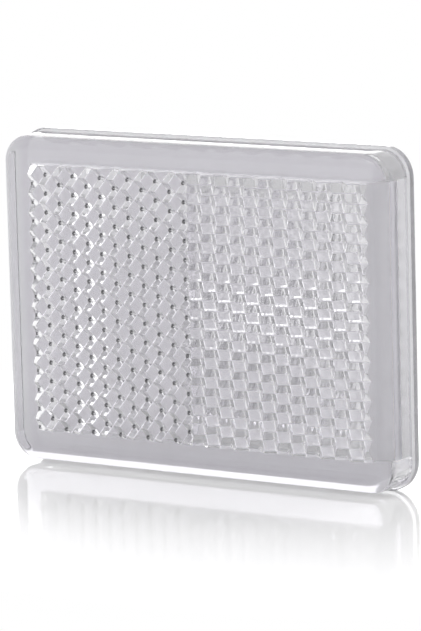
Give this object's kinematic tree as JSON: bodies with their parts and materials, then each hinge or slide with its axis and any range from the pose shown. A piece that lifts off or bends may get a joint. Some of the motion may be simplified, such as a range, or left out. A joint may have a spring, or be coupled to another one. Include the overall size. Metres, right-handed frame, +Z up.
{
  "type": "safety reflector",
  "caption": "Rectangular clear prism reflector with rounded corners, moulded cube-corner prisms in two turned groups behind a flat front, and a flat back plate to stick or clip on.",
  "frame": {"origin": "centre of the flat mounting face, on the back of the back plate", "axes": "+X along the width, +Y out of the mounting face towards what the reflector is fixed to, so the lens faces -Y, +Z up along the height"},
  "size_m": [0.054, 0.0062, 0.04],
  "materials": {
    "clear_lens": "polished clear acrylic, see-through, with sharp prisms moulded behind the front face",
    "plate_plastic": "smooth milky light grey plastic that lets some light through"
  },
  "bodies": {
    "root": {"lens": "clear_lens", "back_plate": "plate_plastic"}
  },
  "joints": []
}
